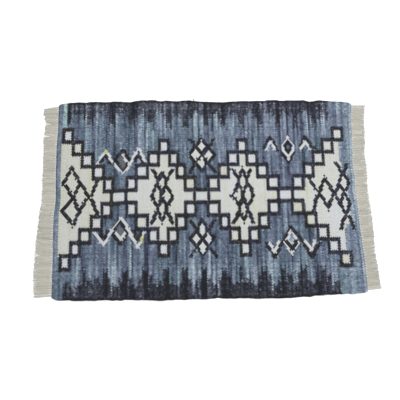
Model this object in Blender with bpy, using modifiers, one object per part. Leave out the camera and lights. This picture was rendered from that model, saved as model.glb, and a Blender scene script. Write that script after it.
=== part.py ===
"""A flat woven rag rug with a knotted cotton fringe at both ends, lying on the floor.

Metres, +Z up. X runs along the warps, from fringe to fringe, and Y along the wefts.
The origin is on the floor, under the middle of the rug's box.
"""

import math
from bisect import bisect_right
from collections import namedtuple

import bmesh
import bpy
from mathutils import Vector

MM = 0.001
FAR, NEAR = 1, -1  # the two selvedges, along the rug's length
LEFT, RIGHT = -1, 1  # the two ends, where the fringes hang

# Driving sizes of the woven cloth.
CLOTH_LENGTH = 1.355
CLOTH_WIDTH = 0.908
CLOTH_THICK = 0.005
RIM_ROUND = 0.0014
RIM_SEGMENTS = 2

# The weaver draws the cloth in at its four corners.
CORNER_DRAW = 0.012
CORNER_REACH = 0.011

# The cloth's grid, and how far its lines crowd towards the edges.
LONG_CELLS = 44
WIDE_CELLS = 26
CROWDING = 0.55

# Driving sizes of the fringe.
LOCKS_AT_EACH_END = 76
PARTING_GAP = 0.0005  # between the cloth and the heading that holds the fringe
HEADING_WIDE = 0.006
HEADING_HIGH = 0.0034
FRINGE_INSET = 0.001  # from the cloth's corner to the outermost lock
ROOT_SHARE = 0.62  # of the pitch, where a lock leaves its knot
WIDEST_LOCK = 1.1  # of the pitch, beside a wide parting
LENGTH_SPREAD = 0.003
LEAN_SPREAD = 0.0006
LEAN_GROWTH = 1.3  # a lock curves, so its lean grows faster than its length

# How far each edge stands out from the straight line, read along the edge, in millimetres.
Bend = namedtuple("Bend", "along out")
FAR_SELVEDGE = [
    Bend(-680, -8), Bend(-590, -6), Bend(-490, -3), Bend(-414, 0), Bend(-343, -3), Bend(-284, 5),
    Bend(-195, 3), Bend(-136, 1), Bend(-77, 3), Bend(12, -2), Bend(71, -4), Bend(160, -1),
    Bend(248, 3), Bend(340, 3), Bend(455, 4), Bend(485, -2), Bend(544, 3), Bend(603, -3),
    Bend(680, -4),
]
NEAR_SELVEDGE = [
    Bend(-680, -5), Bend(-638, -3), Bend(-520, -2), Bend(-382, 0), Bend(-343, -2), Bend(-225, 4),
    Bend(-136, 1), Bend(-47, 2), Bend(41, -2), Bend(130, 1), Bend(258, 3), Bend(337, 2),
    Bend(425, -2), Bend(485, -8), Bend(573, -9), Bend(632, -11), Bend(680, -10),
]
LEFT_END = [
    Bend(-454, 3), Bend(-244, 3), Bend(-205, 5), Bend(-97, 5), Bend(-8, -2), Bend(110, 1),
    Bend(229, 1), Bend(317, -3), Bend(454, -3),
]
RIGHT_END = [
    Bend(-454, 16), Bend(-422, 16), Bend(-294, 14), Bend(-215, 8), Bend(-126, 3), Bend(-37, 0),
    Bend(22, -6), Bend(81, -3), Bend(150, -7), Bend(258, -1), Bend(347, 2), Bend(454, 10),
]

# Where the cloth lifts off the floor along its selvedges, in millimetres.
Ripple = namedtuple("Ripple", "side middle long high")
RIPPLES = [
    Ripple(FAR, -560, 190, 2.2),
    Ripple(FAR, -285, 150, 3.2),
    Ripple(FAR, -30, 200, 2.0),
    Ripple(FAR, 350, 250, 2.8),
    Ripple(FAR, 545, 110, 2.4),
    Ripple(NEAR, -520, 170, 2.0),
    Ripple(NEAR, -225, 190, 3.0),
    Ripple(NEAR, 200, 240, 2.6),
    Ripple(NEAR, 500, 180, 2.8),
]
RIPPLE_REACH = 0.050

# The fringe, read along each end, in millimetres: how long its locks are and how far their tips lean.
Hang = namedtuple("Hang", "along long lean")
LEFT_FRINGE = [
    Hang(-440, 73, -6), Hang(-400, 79, -1), Hang(-330, 81, 4), Hang(-262, 78, 9), Hang(-215, 74, 10),
    Hang(-150, 69, 6), Hang(-100, 65, 3), Hang(0, 62, 0), Hang(60, 60, 0), Hang(200, 59, 1),
    Hang(270, 62, 7), Hang(335, 60, 5), Hang(350, 57, 0), Hang(380, 63, -2), Hang(405, 68, -6),
    Hang(434, 66, -13),
]
RIGHT_FRINGE = [
    Hang(-434, 62, 5), Hang(-380, 59, 3), Hang(-333, 57, 4), Hang(-274, 52, 6), Hang(-230, 57, 6),
    Hang(-156, 61, 3), Hang(-8, 60, 0), Hang(60, 60, -1), Hang(140, 64, 4), Hang(199, 59, 2),
    Hang(278, 62, 1), Hang(366, 63, 0), Hang(438, 65, 0),
]

# Where neighbouring locks part and leave a wedge of floor, in millimetres.
Parting = namedtuple("Parting", "along wide")
LEFT_PARTINGS = [Parting(343, 8), Parting(284, 5), Parting(-64, 3), Parting(-258, 5)]
RIGHT_PARTINGS = [Parting(196, 3), Parting(-120, 3)]
PARTING_REACH = 0.045

# A lock from its knot to its tip: shares of its length and of its room between its neighbours.
Station = namedtuple("Station", "share wide high")
LOCK_STATIONS = [
    Station(0.18, 0.86, 0.0032),
    Station(0.62, 0.82, 0.0026),
    Station(1.0, 0.66, 0.0018),
]


def read_along(rows, along, column):
    """A column of a table at a place along an edge, eased between the rows on either side."""
    if along <= rows[0].along * MM:
        return getattr(rows[0], column) * MM
    for low, high in zip(rows, rows[1:]):
        if along <= high.along * MM:
            share = (along / MM - low.along) / (high.along - low.along)
            eased = share * share * (3 - 2 * share)
            first, second = getattr(low, column), getattr(high, column)
            return (first + (second - first) * eased) * MM
    return getattr(rows[-1], column) * MM


def crowded(share):
    """Shares from 0 to 1, closer together towards both ends."""
    round_share = 0.5 - 0.5 * math.cos(math.pi * share)
    return share + CROWDING * (round_share - share)


def selvedge(x, side):
    """Where the cloth's long edge is at this place along it."""
    rows = FAR_SELVEDGE if side == FAR else NEAR_SELVEDGE
    drawn = CORNER_DRAW * math.exp(-(CLOTH_LENGTH / 2 - abs(x)) / CORNER_REACH)
    return side * (CLOTH_WIDTH / 2 + read_along(rows, x, "out") - drawn)


def end_bend(y, side):
    """Where the cloth's end is at this place across it."""
    rows = LEFT_END if side == LEFT else RIGHT_END
    return side * (CLOTH_LENGTH / 2 + read_along(rows, y, "out"))


def corners_of(side):
    """The two corners of one end, from near to far."""
    return selvedge(side * CLOTH_LENGTH / 2, NEAR), selvedge(side * CLOTH_LENGTH / 2, FAR)


def end_edge(y, side):
    """The same end as the cloth's grid draws it, in straight runs between its rows."""
    low, high = corners_of(side)
    rows = [low + (high - low) * crowded(k / WIDE_CELLS) for k in range(WIDE_CELLS + 1)]
    first = min(max(bisect_right(rows, y) - 1, 0), WIDE_CELLS - 1)
    share = (y - rows[first]) / (rows[first + 1] - rows[first])
    start, stop = end_bend(rows[first], side), end_bend(rows[first + 1], side)
    return start + (stop - start) * share


def lift(x, y):
    """How far the cloth's underside stands off the floor."""
    height = 0.0
    for ripple in RIPPLES:
        away = abs(x / MM - ripple.middle) / (ripple.long / 2)
        inward = abs(selvedge(x, ripple.side) - y) / RIPPLE_REACH
        if away < 1 and inward < 2:
            height += ripple.high * MM * math.cos(away * math.pi / 2) ** 2 * math.exp(-2 * inward**2)
    return height


def material(name, colour, roughness):
    made = bpy.data.materials.new(name)
    made.use_nodes = True
    shader = made.node_tree.nodes["Principled BSDF"]
    shader.inputs["Base Color"].default_value = (*colour, 1.0)
    shader.inputs["Roughness"].default_value = roughness
    shader.inputs["Metallic"].default_value = 0.0
    return made


def finished(name, shape, finish, collection):
    """A named object from a bmesh, with its own material."""
    mesh = bpy.data.meshes.new(name)
    shape.to_mesh(mesh)
    shape.free()
    made = bpy.data.objects.new(name, mesh)
    made.data.materials.append(finish)
    collection.objects.link(made)
    return made


def woven_cloth(collection):
    """One sheet with uneven selvedges, flat but for low ripples, its rim round where wefts turn."""
    sheet = bmesh.new()
    bmesh.ops.create_grid(sheet, x_segments=LONG_CELLS, y_segments=WIDE_CELLS, size=0.5)
    for vertex in sheet.verts:
        along, across = crowded(vertex.co.x + 0.5), crowded(vertex.co.y + 0.5)
        straight_x = (along - 0.5) * CLOTH_LENGTH
        low, high = selvedge(straight_x, NEAR), selvedge(straight_x, FAR)
        y = low + (high - low) * across
        left, right = end_bend(y, LEFT), end_bend(y, RIGHT)
        x = left + (right - left) * along
        vertex.co = Vector((x, y, lift(x, y)))
    blue = material("denim_rags", (0.13, 0.18, 0.27), 0.9)
    cloth = finished("woven_cloth", sheet, blue, collection)
    thickness = cloth.modifiers.new("thickness", "SOLIDIFY")
    thickness.thickness = CLOTH_THICK
    thickness.offset = 1.0
    rim = cloth.modifiers.new("rounded_rim", "BEVEL")
    rim.width = RIM_ROUND
    rim.segments = RIM_SEGMENTS
    rim.limit_method = "ANGLE"
    rim.angle_limit = math.radians(50)
    return cloth


def uneven(index, salt):
    """A number from -1 to 1 for each lock, the same each time."""
    value = math.sin(index * 12.9898 + salt * 78.233) * 43758.5453
    return 2 * (value - math.floor(value)) - 1


def tip_lean(y, rows, partings):
    """How far a lock's tip lies to the far side of its root."""
    lean = read_along(rows, y, "lean")
    for parting in partings:
        away = y - parting.along * MM
        lean += math.copysign(parting.wide * MM / 2, away) * math.exp(-abs(away) / PARTING_REACH)
    return lean


def heading_strip(side, lines):
    """The narrow strip that holds an end's knots, with a line across it at each lock's two sides."""
    strip = bmesh.new()
    bmesh.ops.create_grid(strip, x_segments=1, y_segments=len(lines) - 1, size=0.5)
    for vertex in strip.verts:
        line = lines[round((vertex.co.y + 0.5) * (len(lines) - 1))]
        outward = PARTING_GAP + (HEADING_WIDE if vertex.co.x * side > 0 else 0.0)
        vertex.co = Vector((end_edge(line, side) + side * outward, line, 0.0))
    raised = bmesh.ops.extrude_face_region(strip, geom=strip.faces[:], use_keep_orig=True)
    top = [part for part in raised["geom"] if isinstance(part, bmesh.types.BMVert)]
    bmesh.ops.translate(strip, verts=top, vec=(0, 0, HEADING_HIGH))
    bmesh.ops.recalc_face_normals(strip, faces=strip.faces[:])
    return strip


def knotted_fringe(name, side, rows, partings, collection):
    """A heading along one end of the cloth, with its locks drawn out of it in one body."""
    low, high = corners_of(side)
    low, high = low + FRINGE_INSET, high - FRINGE_INSET
    pitch = (high - low) / LOCKS_AT_EACH_END
    half_root = ROOT_SHARE * pitch / 2
    middles = [low + (k + 0.5) * pitch for k in range(LOCKS_AT_EACH_END)]
    lines = [low] + [middle + way * half_root for middle in middles for way in (-1, 1)] + [high]
    fringe = heading_strip(side, lines)
    outer = [f for f in fringe.faces if f.normal.x * side > 0.5 and abs(f.normal.z) < 0.1]
    outer.sort(key=lambda f: f.calc_center_median().y)
    faces = outer[1::2]
    leans = [
        tip_lean(middle, rows, partings) + LEAN_SPREAD * uneven(k, 3 + side)
        for k, middle in enumerate(middles)
    ]
    for station in LOCK_STATIONS:
        drift = station.share**LEAN_GROWTH
        centres = [middle + lean * drift for middle, lean in zip(middles, leans)]
        rooms = [pitch] + [after - before for before, after in zip(centres, centres[1:])] + [pitch]
        for k, middle in enumerate(middles):
            long = read_along(rows, middle, "long") + LENGTH_SPREAD * uneven(k, side) - HEADING_WIDE
            reach = PARTING_GAP + HEADING_WIDE + station.share * long
            width = station.wide * min(rooms[k], rooms[k + 1], WIDEST_LOCK * pitch)
            faces[k] = bmesh.ops.extrude_discrete_faces(fringe, faces=[faces[k]])["faces"][0]
            old = faces[k].calc_center_median()
            for vertex in faces[k].verts:
                across = math.copysign(width / 2, vertex.co.y - old.y)
                height = station.high if vertex.co.z > old.z else 0.0
                vertex.co = Vector((end_edge(middle, side) + side * reach, centres[k] + across, height))
    bmesh.ops.recalc_face_normals(fringe, faces=fringe.faces[:])
    cream = material(name + "_cotton", (0.58, 0.55, 0.45), 0.85)
    return finished(name, fringe, cream, collection)


def centre_on_origin(pieces):
    """Moves the pieces together, so that the origin is under the middle of their box."""
    points = [vertex.co for piece in pieces for vertex in piece.data.vertices]
    middle_x = (min(p.x for p in points) + max(p.x for p in points)) / 2
    middle_y = (min(p.y for p in points) + max(p.y for p in points)) / 2
    for piece in pieces:
        piece.location = (-middle_x, -middle_y, 0.0)


def main():
    for old in list(bpy.data.objects):
        bpy.data.objects.remove(old)
    collection = bpy.data.collections.new("rag_rug")
    bpy.context.scene.collection.children.link(collection)
    pieces = [
        woven_cloth(collection),
        knotted_fringe("left_fringe", LEFT, LEFT_FRINGE, LEFT_PARTINGS, collection),
        knotted_fringe("right_fringe", RIGHT, RIGHT_FRINGE, RIGHT_PARTINGS, collection),
    ]
    centre_on_origin(pieces)


main()
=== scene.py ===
import math
from collections import namedtuple

import bpy
import numpy as np
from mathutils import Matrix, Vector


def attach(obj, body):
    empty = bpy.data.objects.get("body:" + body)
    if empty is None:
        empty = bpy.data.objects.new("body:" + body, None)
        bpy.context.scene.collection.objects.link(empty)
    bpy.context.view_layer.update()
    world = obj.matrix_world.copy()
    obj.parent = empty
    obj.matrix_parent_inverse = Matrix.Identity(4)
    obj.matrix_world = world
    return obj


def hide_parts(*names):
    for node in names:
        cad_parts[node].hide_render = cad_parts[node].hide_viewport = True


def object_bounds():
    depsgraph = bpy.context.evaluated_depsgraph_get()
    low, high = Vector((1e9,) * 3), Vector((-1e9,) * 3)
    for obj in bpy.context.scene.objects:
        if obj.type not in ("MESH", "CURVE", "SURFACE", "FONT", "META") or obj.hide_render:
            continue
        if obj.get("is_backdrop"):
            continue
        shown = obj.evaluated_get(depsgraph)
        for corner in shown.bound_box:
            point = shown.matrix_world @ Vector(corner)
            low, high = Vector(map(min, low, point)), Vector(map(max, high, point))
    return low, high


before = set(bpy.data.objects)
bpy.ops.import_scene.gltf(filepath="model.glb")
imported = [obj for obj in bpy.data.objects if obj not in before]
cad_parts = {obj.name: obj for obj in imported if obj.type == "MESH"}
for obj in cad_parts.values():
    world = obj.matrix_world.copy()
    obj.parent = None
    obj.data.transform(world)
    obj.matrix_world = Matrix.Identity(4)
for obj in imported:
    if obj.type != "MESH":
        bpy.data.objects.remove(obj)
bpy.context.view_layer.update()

# The warps. Cream cotton strings run from end to end of the loom, and the rag wefts are beaten down over
# them until none shows. The pull of the wefts leaves the selvedges and the ends a little uneven. A place is
# read as a pick along the rug and a warp across it. The bends and drifts were measured on the photo.
MM = 0.001
FAR, NEAR = 1, -1
LEFT, RIGHT = -1, 1
PICKS = 296
WARPS = 156
CLOTH_LENGTH = 1.355
CLOTH_WIDTH = 0.908
SELVEDGE_TURN = 0.0014  # a weft stands out past its last warp by this much
BEND_REACH = 0.080  # how far into the cloth an uneven selvedge is felt
END_REACH = 0.090
CORNER_DRAW = 0.012
CORNER_RUN = 0.011
CORNER_REACH = 0.024
MIDDLE_OF_RUG = (0.003448, -0.000575)  # the loom's middle line, seen from under the middle of the rug's box

Bend = namedtuple("Bend", "along out")
FAR_SELVEDGE = [Bend(*row) for row in (
    (-680, -8), (-590, -6), (-490, -3), (-414, 0), (-343, -3), (-284, 5), (-195, 3), (-136, 1), (-77, 3),
    (12, -2), (71, -4), (160, -1), (248, 3), (340, 3), (455, 4), (485, -2), (544, 3), (603, -3),
    (680, -4),
)]
NEAR_SELVEDGE = [Bend(*row) for row in (
    (-680, -5), (-638, -3), (-520, -2), (-382, 0), (-343, -2), (-225, 4), (-136, 1), (-47, 2), (41, -2),
    (130, 1), (258, 3), (337, 2), (425, -2), (485, -8), (573, -9), (632, -11), (680, -10),
)]
LEFT_END = [Bend(*row) for row in (
    (-454, 3), (-244, 3), (-205, 5), (-97, 5), (-8, -2), (110, 1), (229, 1), (317, -3), (454, -3),
)]
RIGHT_END = [Bend(*row) for row in (
    (-454, 16), (-422, 16), (-294, 14), (-215, 8), (-126, 3), (-37, 0), (22, -6), (81, -3), (150, -7),
    (258, -1), (347, 2), (454, 10),
)]
Ripple = namedtuple("Ripple", "side middle long high")
RIPPLES = [
    Ripple(FAR, -560, 190, 2.2),
    Ripple(FAR, -285, 150, 3.2),
    Ripple(FAR, -30, 200, 2.0),
    Ripple(FAR, 350, 250, 2.8),
    Ripple(FAR, 545, 110, 2.4),
    Ripple(NEAR, -520, 170, 2.0),
    Ripple(NEAR, -225, 190, 3.0),
    Ripple(NEAR, 200, 240, 2.6),
    Ripple(NEAR, 500, 180, 2.8),
]
RIPPLE_REACH = 0.050
# How far the warps wander to the far side of a straight line: half way to the far selvedge, along the
# middle, and half way to the near selvedge.
Drift = namedtuple("Drift", "along far middle near")
DRIFTS = [Drift(*row) for row in (
    (-680, -1, -1, 0), (-560, -2.4, -1, -0.5), (-440, 0, -0.5, -1.5), (-340, 2, 4, -3.5),
    (-240, 4.5, 3.5, -2.5), (-190, 4.2, 3, -4.6), (-120, 4.5, 2.5, -1), (-78, 4, 2.5, 0),
    (27, 4, 3, -2.5), (160, 5, 4, -6), (206, 2.4, 4, -4.6), (255, 2, 4.5, 1), (300, 4, 5, 3),
    (407, 5, 6, 4), (508, 3, 5.5, 4), (558, 4, 5, 1), (604, 3, 5, 0), (680, 3, 4, 0),
)]


def eased(share):
    share = np.clip(share, 0, 1)
    return share * share * (3 - 2 * share)


def read_along(rows, along, column):
    """A column of a table at places along an edge, eased between the rows on either side."""
    places = np.array([row.along for row in rows]) * MM
    values = np.array([getattr(row, column) for row in rows]) * MM
    after = np.clip(np.searchsorted(places, along), 1, len(rows) - 1)
    share = eased((along - places[after - 1]) / (places[after] - places[after - 1]))
    return values[after - 1] + (values[after] - values[after - 1]) * share


def drawn_in(x):
    return CORNER_DRAW * np.exp(-(CLOTH_LENGTH / 2 - np.abs(x)) / CORNER_RUN)


def lift(x, y):
    """How far the cloth stands off the floor."""
    height = np.zeros(np.broadcast(x, y).shape)
    for ripple in RIPPLES:
        rows = FAR_SELVEDGE if ripple.side == FAR else NEAR_SELVEDGE
        edge = ripple.side * (CLOTH_WIDTH / 2 + read_along(rows, x, "out") - drawn_in(x))
        away = np.abs(x / MM - ripple.middle) / (ripple.long / 2)
        inward = np.abs(edge - y) / RIPPLE_REACH
        wave = ripple.high * MM * np.cos(np.clip(away, 0, 1) * np.pi / 2) ** 2
        height = height + np.where((away < 1) & (inward < 2), wave * np.exp(-2 * inward**2), 0.0)
    return height


def laid(pick, warp, height):
    """Points of the cloth, from the pick and warp that they lie on and their height in its thickness."""
    x = (pick / PICKS - 0.5) * CLOTH_LENGTH + 0.0 * warp
    half = CLOTH_WIDTH / 2 - SELVEDGE_TURN
    straight_y = (2 * warp / WARPS - 1) * half + 0.0 * pick
    y = straight_y
    for place, column in ((0.5, "far"), (0.0, "middle"), (-0.5, "near")):
        y = y + read_along(DRIFTS, x, column) * eased(1 - np.abs(straight_y / half - place) / 0.5)
    for side, rows in ((FAR, FAR_SELVEDGE), (NEAR, NEAR_SELVEDGE)):
        inward = half - side * straight_y
        y = y + side * read_along(rows, x, "out") * eased(1 - inward / BEND_REACH)
        y = y - side * drawn_in(x) * eased(1 - inward / CORNER_REACH)
    straight_x = x
    for side, rows in ((LEFT, LEFT_END), (RIGHT, RIGHT_END)):
        inward = CLOTH_LENGTH / 2 - side * straight_x
        x = x + side * read_along(rows, y, "out") * eased(1 - inward / END_REACH)
    z = height + lift(x, y)
    return np.stack([x + MIDDLE_OF_RUG[0], y + MIDDLE_OF_RUG[1], z], axis=-1)


# The rags. The wefts are strips torn from old denim, in blues from navy to nearly white, with charcoal,
# black and undyed cotton for the design. One strip goes to and fro for a few picks before the next is laid
# in, so the blues run in streaks across the rug.
STUDIO = 1.37  # how bright the studio makes a pale thing, so that a dye comes out as it is named
DENIM, CHARCOAL, BLACK, WHITE, LIME, GREY = range(6)
Dye = namedtuple("Dye", "share red green blue")
DYES = {
    DENIM: [
        Dye(0, 38, 43, 60), Dye(0.25, 68, 79, 97), Dye(0.5, 101, 115, 133), Dye(0.75, 140, 155, 169),
        Dye(1, 190, 200, 206),
    ],
    CHARCOAL: [
        Dye(0, 20, 22, 30), Dye(0.3, 45, 47, 58), Dye(0.6, 71, 74, 87), Dye(0.8, 94, 99, 115),
        Dye(1, 136, 142, 158),
    ],
    BLACK: [Dye(0, 17, 20, 22), Dye(0.5, 36, 37, 44), Dye(1, 76, 76, 90)],
    WHITE: [
        Dye(0, 191, 191, 168), Dye(0.35, 200, 200, 190), Dye(0.65, 202, 204, 200), Dye(1, 203, 206, 212),
    ],
    LIME: [Dye(0, 170, 178, 112), Dye(1, 198, 204, 150)],
    GREY: [Dye(0, 78, 84, 92), Dye(1, 112, 118, 126)],
}
LILAC = (4, -2, 3)  # what a full tint adds to a denim or charcoal dye, and its opposite is a grey green
NAVY = (-3, 0, 16)  # the same for the black
TINT_SHOWN = {DENIM: 1, CHARCOAL: 0.5, BLACK: 1, WHITE: 0, LIME: 0, GREY: 0}
DARKEST = 0.02
MIDDLE_SHADE = 0.43


def streaks(draw, picks_wide, warps_long):
    """Uneven shades, about -2 to 2, in streaks about so many picks wide and so many warps long."""
    knots = int(WARPS / warps_long) + 4
    levels = draw.normal(size=(PICKS + 2, knots))
    starts = draw.random(PICKS + 2)
    if picks_wide > 2:
        strips = np.cumsum(draw.random(PICKS + 1) < 1 / picks_wide)
    else:
        strips = np.arange(PICKS + 1) // picks_wide
    places = np.arange(WARPS + 1) / warps_long
    return np.array([np.interp(places + starts[k], np.arange(knots), levels[k]) for k in strips])


def linear(level):
    """A level of a named colour, from 0 to 1, as the studio needs it."""
    return ((level + 0.055) / 1.055) ** 2.4 / STUDIO


def dyed(kind, share, tint):
    """Linear colours of a kind of rag, for shares and tints of any shape."""
    rows = DYES[kind]
    shares = [row.share for row in rows]
    added = NAVY if kind == BLACK else LILAC
    channels = []
    for name, change in zip(("red", "green", "blue"), added):
        level = np.interp(share, shares, [getattr(row, name) for row in rows])
        level = level + change * tint * TINT_SHOWN[kind]
        channels.append(linear(np.clip(level / 255, DARKEST, 1)))
    return np.stack(channels, axis=-1)


# The design. A denim ground runs into a charcoal border with flame points along both selvedges, and a white
# field stands between two stepped chains of windows. Rows are counted from the middle line, positive to the
# far side. The places of the figures were read off the photo, one by one.
MIDDLE_WARP = 78
rows = np.arange(WARPS + 1)[None, :] - MIDDLE_WARP
picks = np.arange(PICKS + 1)[:, None]
shed = np.random.default_rng(11)
chart = np.full((PICKS + 1, WARPS + 1), DENIM)
shade = (
    MIDDLE_SHADE + 0.15 * streaks(shed, 2, 34) + 0.05 * streaks(shed, 1, 26) + 0.06 * streaks(shed, 2, 9)
    + 0.03 * streaks(shed, 1, 7) + 0.04 * streaks(shed, 12, 60)
)
tint = np.clip(0.32 * streaks(shed, 5, 50) + 0.35 * streaks(shed, 2, 20), -0.7, 0.6)
speck = shed.normal(size=chart.shape)

# Flame points. Dark blocks with two thin feet stand out of the border into the ground, and pale tongues of
# the ground run out into the border, one row after another along each selvedge.
Block = namedtuple("Block", "pick half body feet")
Tongue = namedtuple("Tongue", "pick wide tip pale")
FAR_BORDER, NEAR_BORDER = 67, 66  # rows from the middle line to the border, where nothing stands in it
FAR_DARK, NEAR_DARK = 0.02, 0.14
BLOCK_DARK = 0.13
FAR_BLOCKS = [Block(*row) for row in (
    (11, 1.5, 60, 60), (32, 3.3, 60, 57), (53.8, 3.2, 60, 56.5), (73.5, 3, 60, 56.5),
    (91.5, 4, 60, 54.5), (110.2, 2.8, 59, 54), (127.3, 2.8, 57, 55.5), (148, 2.5, 58, 56),
    (156, 2.2, 57, 53), (165, 2.6, 58, 57), (183.3, 2.8, 58, 55.5), (203, 2.8, 59, 55.5),
    (221, 2.8, 59, 56.5), (238.7, 1.8, 57, 55), (258, 2.4, 60, 55), (271.5, 1.3, 62, 62),
)]
FAR_TONGUES = [Tongue(*row) for row in (
    (26.8, 2, 64, 0.15), (36.8, 2, 66, 0.15), (40, 2, 70, 0.1), (45.5, 1, 71, 0.15), (49, 1, 64.5, 0.1),
    (59.8, 4, 67.5, 0.5), (62, 1, 73, 0.35), (66.5, 2, 71, 0.2), (70, 1, 62, 0.1), (77, 1, 66.5, 0.2),
    (82.5, 3, 68, 0.35), (85, 1, 72, 0.5), (99.5, 1, 72, 0.35), (102, 5, 70, 0.4), (106.3, 2, 62, 0.35),
    (107, 1, 65.5, 0.3), (116.5, 1, 71.5, 0.25), (118, 8, 66, 0.15), (121, 1, 69, 0.2),
    (131.5, 1, 66, 0.2), (133, 3, 64, 0.1), (137.8, 4, 70, 0.8), (140.7, 1, 73, 0.3),
    (143.6, 2, 66, 0.45), (147.5, 1, 58.5, 0.2), (151.2, 2, 65, 0.25), (157.5, 3, 68, 0.3),
    (159, 1, 69.5, 0.35), (161.5, 1, 63, 0.2), (165.5, 1, 58.5, 0.2), (168.8, 2, 65, 0.3),
    (171.5, 1, 72, 0.45), (174, 4, 66, 0.4), (176, 1, 69, 0.4), (187.7, 3, 67, 0.3), (190, 1, 72, 0.5),
    (193, 5, 70, 0.35), (198.5, 1, 65, 0.3), (203.5, 1, 58, 0.2), (208, 1, 69, 0.2),
    (211.5, 4, 68.5, 0.15), (214.3, 1, 70, 0.35), (217, 1, 65.5, 0.45), (228, 3, 70.5, 0.5),
    (234, 1, 66, 0.2), (242, 1, 66, 0.25), (249.5, 3, 70, 0.55), (251, 1, 70.5, 0.5), (255, 1, 66, 0.5),
    (265, 7, 63, 0.3), (265.5, 1, 71, 0.35), (268.5, 1, 69, 0.3),
)]
NEAR_BLOCKS = [Block(*row) for row in (
    (28.8, 1.5, 57, 53), (49, 2.6, 57, 54), (67.7, 3, 57, 53.5), (86.7, 3, 57, 53.5),
    (106.5, 2.8, 56, 54.5), (124.8, 2.8, 56, 53.7), (143, 2.8, 57, 53.7), (162, 2.3, 57, 55),
    (178, 1, 60, 54), (200.8, 3, 58, 54.7), (219, 2.8, 58, 55), (239, 3, 58, 54.5), (258, 2.7, 58, 55),
)]
NEAR_HORNS = (60, 81, 93, 112, 138, 149, 166, 187, 195, 233, 251, 265)
NEAR_TONGUES = [Tongue(*row) for row in (
    (18.5, 2, 71, 0.45), (22, 4, 68, 0.15), (35, 2, 64, 0.2), (41, 5, 62, 0.1), (52.5, 2, 62.5, 0.6),
    (55.5, 1, 72.5, 0.6), (57.5, 4, 68, 0.55), (59.8, 1, 69, 0.4), (62.5, 2, 62.5, 0.3),
    (72.8, 2, 63, 0.8), (77.5, 3, 70, 0.5), (82, 2, 62.5, 0.45), (91.5, 2, 61, 0.4), (96.5, 3, 68, 0.3),
    (98, 1, 69, 0.35), (101.5, 1, 65, 0.35), (117, 7, 69, 0.25), (129, 3, 63.5, 0.4),
    (132.5, 3, 69, 0.4), (132.5, 1, 73.5, 0.6), (136.8, 1, 71, 0.3), (139.5, 1, 65, 0.2),
    (147.5, 2, 63, 0.35), (153, 5, 68, 0.45), (156.5, 1, 72, 0.4), (158, 2, 64, 0.35),
    (166.5, 3, 62, 0.15), (171, 3, 68, 0.4), (184.5, 1, 65.5, 0.8), (192, 5, 68, 0.25),
    (196, 1, 62, 0.3), (206.3, 2, 61, 0.7), (207.8, 1, 72.5, 0.6), (211, 4, 69.5, 0.45),
    (225, 4, 62, 0.15), (230.5, 4, 70, 0.5), (232.5, 1, 69, 0.5), (234, 2, 62, 0.3),
    (247.5, 4, 69, 0.45), (263, 2, 63, 0.25), (266.5, 1, 71, 0.55), (269, 2, 68, 0.3),
)]
BORDER_PICKS = (10, 273)


def flame_border(side, border, blocks, tongues, horns, dark):
    """Weaves one charcoal border. Rows are counted outwards, to this side."""
    out = side * rows[0]
    ragged = border + np.repeat(1.1 * shed.normal(size=PICKS // 2 + 1), 2)[:PICKS + 1]
    deep = np.full(PICKS + 1, dark)
    for horn in horns:
        ragged[horn] = border - 5 + shed.integers(-1, 2)
    for block in blocks:
        for pick in range(math.ceil(block.pick - block.half), math.floor(block.pick + block.half) + 1):
            foot = abs(pick - block.pick) > block.half - 1.2
            ragged[pick] = (block.feet if foot else block.body) + 0.4 * shed.normal()
            deep[pick] += BLOCK_DARK
    for tongue in tongues:
        first, last = math.ceil(tongue.pick - tongue.wide / 2), math.floor(tongue.pick + tongue.wide / 2)
        for pick in range(first, max(first, last) + 1):
            off_middle = abs(pick - tongue.pick) / max(tongue.wide / 2, 1)
            ragged[pick] = tongue.tip - 2.0 * off_middle + 0.4 * shed.normal()
            inner = tongue.tip - 16 - 26 * abs(tongue.pale)
            run = eased((out - inner) / 16) * (out < tongue.tip + 1)
            shade[pick] += 0.50 * tongue.pale * run * (1 - 0.30 * off_middle)
    for pick in range(BORDER_PICKS[0], BORDER_PICKS[1] + 1):
        dyed_dark = out >= ragged[pick]
        chart[pick, dyed_dark] = CHARCOAL
        shade[pick, dyed_dark] -= deep[pick]


flame_border(FAR, FAR_BORDER, FAR_BLOCKS, FAR_TONGUES, (), FAR_DARK)
flame_border(NEAR, NEAR_BORDER, NEAR_BLOCKS, NEAR_TONGUES, NEAR_HORNS, NEAR_DARK)

# End stripes. The first and last picks of the rug are plain stripes of blue, each a few picks of one rag.
Stripe = namedtuple("Stripe", "first last low high shade tint")
END_STRIPES = [Stripe(*row) for row in (
    (0, 1, -78, 78, 0.40, 0.0), (2, 4, -78, 78, 0.54, 0.1), (2, 4, 10, 35, 0.52, 0.8),
    (2, 4, 0, 8, 0.36, -1.5), (5, 8, 55, 78, 0.84, -2.2), (9, 12, 60, 78, 0.22, 0.0),
    (5, 7, -78, -50, 0.42, 0.0), (8, 17, -63, -57, 0.46, 0.0), (274, 277, -50, 50, 0.62, 0.4),
    (274, 277, 50, 78, 0.56, 0.2), (278, 281, -78, 78, 0.44, 0.1), (282, 285, -78, 78, 0.60, 0.3),
    (286, 289, -78, 78, 0.54, 0.0), (284, 287, -78, -50, 0.68, -0.3), (290, 292, -78, 78, 0.66, 0.1),
    (293, 293, -78, 78, 0.50, 0.1), (294, 296, -78, 78, 0.74, 0.0), (274, 280, -78, -57, 0.60, -0.8),
)]
for stripe in END_STRIPES:
    lain = (picks >= stripe.first) & (picks <= stripe.last) & (rows >= stripe.low) & (rows <= stripe.high)
    shade = np.where(lain, stripe.shade + 0.5 * (shade - MIDDLE_SHADE), shade)
    tint = np.where(lain, stripe.tint + 0.4 * tint, tint)


def weave(where, yarn):
    chart[where] = yarn


cool = np.full(chart.shape, 0.85)  # how bluish the undyed cotton is, from cream at 0 to cold white at 1

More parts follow.
